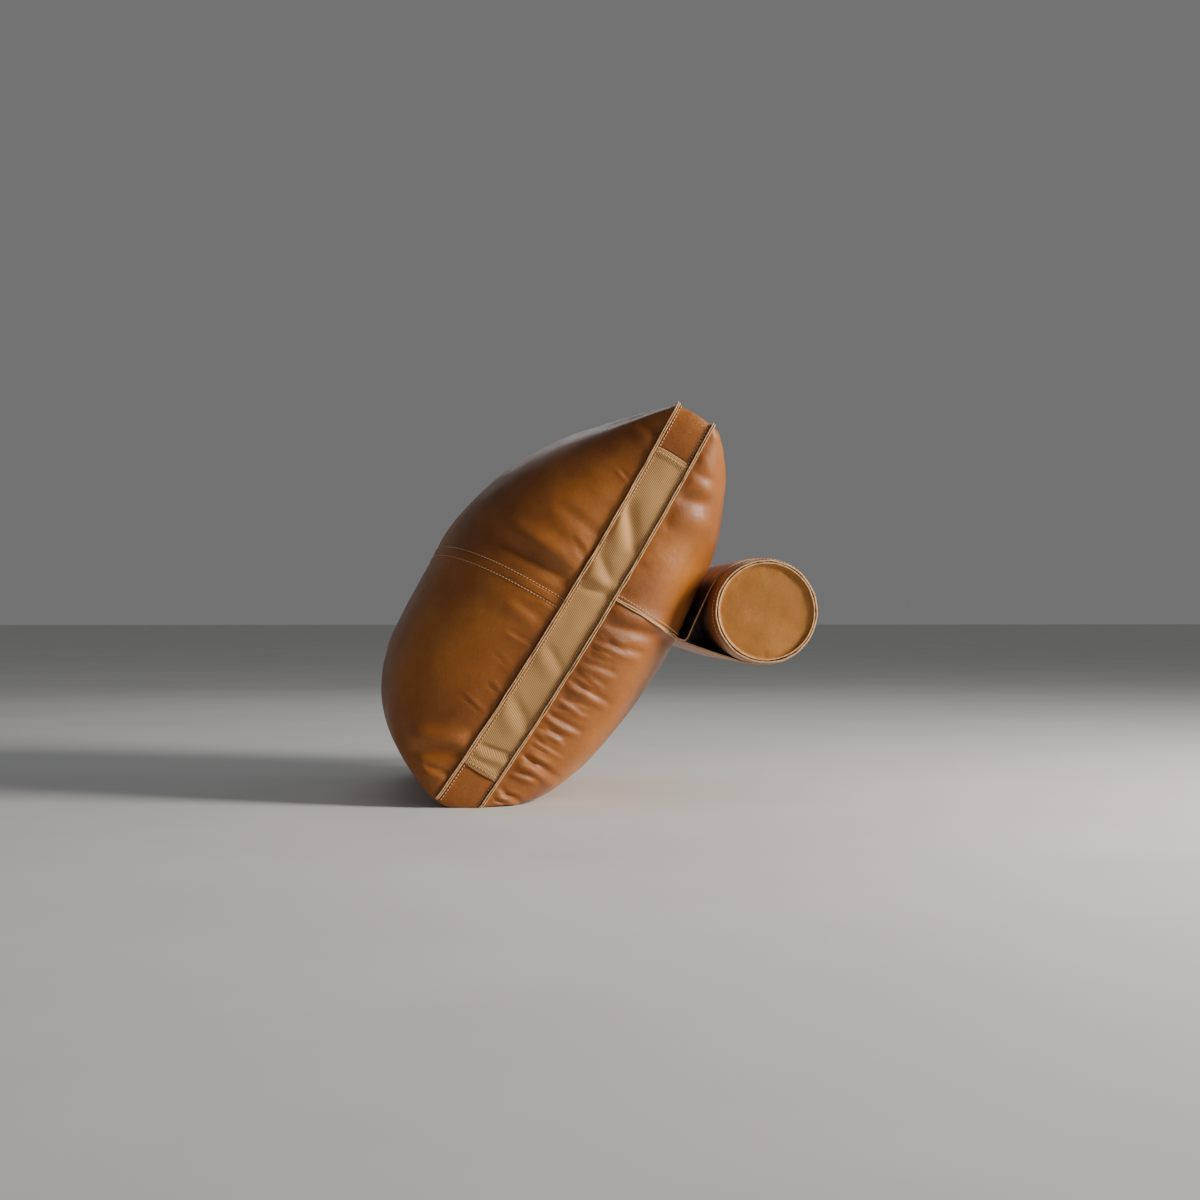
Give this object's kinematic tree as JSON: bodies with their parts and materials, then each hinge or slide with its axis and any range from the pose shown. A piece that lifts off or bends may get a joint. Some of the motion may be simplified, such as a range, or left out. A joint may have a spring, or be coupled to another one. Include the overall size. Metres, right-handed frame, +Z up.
{
  "type": "throw pillow with counterweight roll",
  "caption": "Plump square boxed leather cushion with woven side strips, raised raw-edge seams and a weighted leather roll held behind it in a hinged sling.",
  "frame": {"origin": "on the floor plane, under the middle of the whole object", "axes": "+Z up; +X across the cushion, along the roll; +Y from the front face towards the back, where the roll is"},
  "size_m": [0.6012, 0.568, 0.5181],
  "materials": {
    "leather": "semi-aniline, soft satin sheen",
    "raw_edge": "cut edge, matte",
    "webbing": "woven, matte",
    "ticking": "woven cotton, matte",
    "fill": "soft feather and foam fill",
    "foam": "open-cell foam, matte",
    "zip_tape": "woven tape",
    "zip_metal": "antique brass",
    "steel": "plain bar"
  },
  "bodies": {
    "cushion": {"front_panel_upper": "leather", "front_panel_lower": "leather", "back_panel_upper": "leather", "back_panel_lower": "leather", "gusset_top": "leather", "gusset_bottom": "leather", "sling_tails": "leather", "raw_edge_front": "raw_edge", "raw_edge_back": "raw_edge", "side_webbing_right": "webbing", "side_webbing_left_front": "webbing", "side_webbing_left_back": "webbing", "inner_case_front": "ticking", "inner_case_back": "ticking", "fill_core": "fill", "zip_tape_front": "zip_tape", "zip_tape_back": "zip_tape", "zip_coil": "zip_metal", "zip_stop_top": "zip_metal", "zip_stop_bottom": "zip_metal"},
    "roll": {"sling_wrap": "leather", "roll_cover": "leather", "roll_end_right": "leather", "roll_end_left": "leather", "roll_foam": "foam", "roll_weight_bar": "steel"},
    "zip_slider": {"zip_slider": "zip_metal"},
    "zip_pull": {"zip_pull": "zip_metal"}
  },
  "joints": [
    {"name": "roll_swing", "type": "hinge", "parent": "cushion", "child": "roll", "pos_m": [0, 0.11748, 0.20733], "axis": [1, 0, 0], "range_deg": [-100, 0]},
    {"name": "zip_slide", "type": "slide", "parent": "cushion", "child": "zip_slider", "axis": [0, 0.5225, 0.8526], "range_m": [-0.36, 0]},
    {"name": "zip_pull_flip", "type": "hinge", "parent": "zip_slider", "child": "zip_pull", "pos_m": [-0.29456, 0.06328, 0.39747], "axis": [0, 0.8526, -0.5225], "range_deg": [0, 170]}
  ]
}
